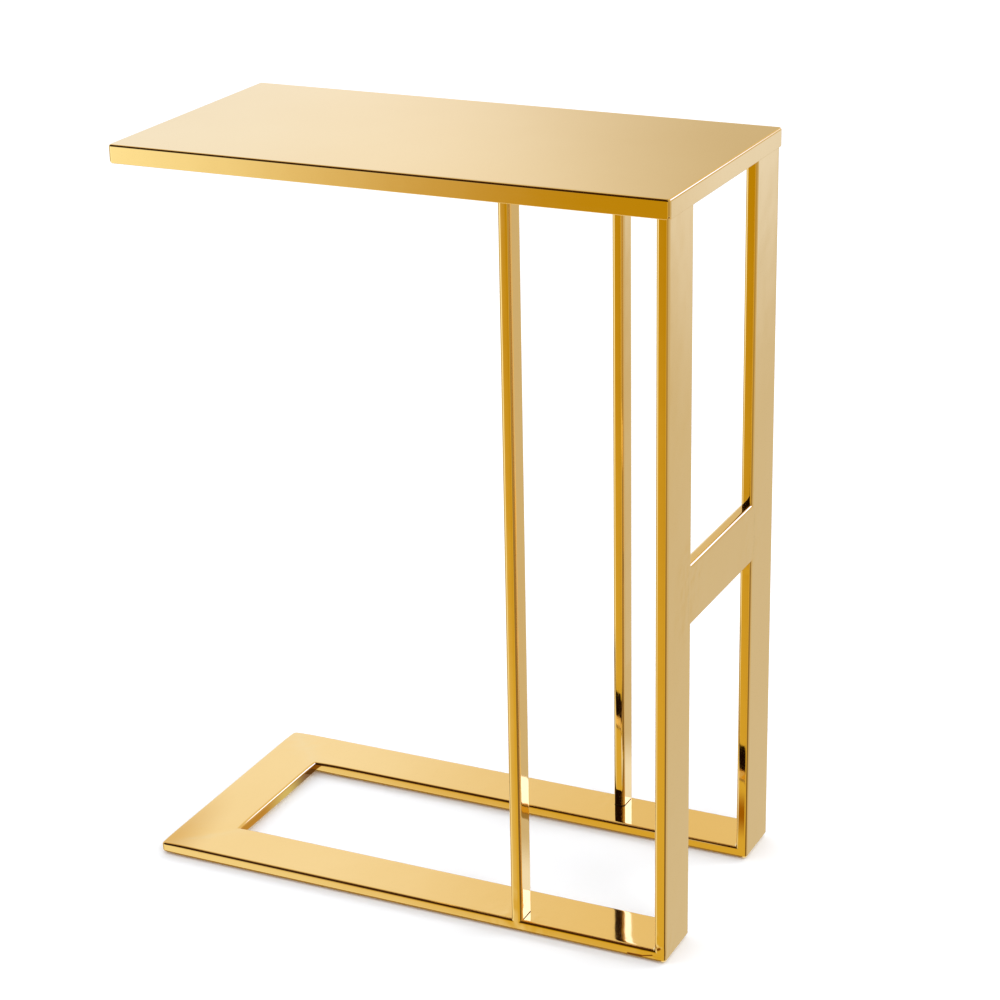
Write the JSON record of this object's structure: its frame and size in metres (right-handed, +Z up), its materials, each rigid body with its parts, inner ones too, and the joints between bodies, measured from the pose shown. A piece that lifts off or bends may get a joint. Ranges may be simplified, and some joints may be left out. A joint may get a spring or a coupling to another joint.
{
  "type": "side table",
  "caption": "C-shaped side table of mirror-polished gold flat tube: thin rectangular top, open U base and uprights at one end joined by a low hand grip.",
  "frame": {"origin": "on the floor, under the middle of the table top", "axes": "+X along the top towards the uprights, +Y from the front rail to the back rail, +Z up"},
  "size_m": [0.467, 0.237, 0.62],
  "materials": {
    "polished_gold": "mirror-polished, gold-coloured plating on steel",
    "liner": "raw fibreboard",
    "zinc_steel": "bright zinc plating",
    "glide_nylon": "natural nylon"
  },
  "bodies": {
    "root": {"top_tray": "polished_gold", "liner_board": "liner", "tray_bosses": "zinc_steel", "tray_screws": "zinc_steel", "tray_washers": "zinc_steel", "top_rail_front": "polished_gold", "top_rail_back": "polished_gold", "top_rail_left": "polished_gold", "top_rail_right": "polished_gold", "top_rail_middle": "polished_gold", "upright_outer_front": "polished_gold", "upright_outer_back": "polished_gold", "upright_inner_front": "polished_gold", "upright_inner_back": "polished_gold", "handle_bar": "polished_gold", "base_rail_front": "polished_gold", "base_rail_back": "polished_gold", "base_rail_left": "polished_gold", "ground_welds": "polished_gold", "glide_left_front": "glide_nylon", "glide_left_back": "glide_nylon", "glide_right_front": "glide_nylon", "glide_right_back": "glide_nylon"}
  },
  "joints": []
}
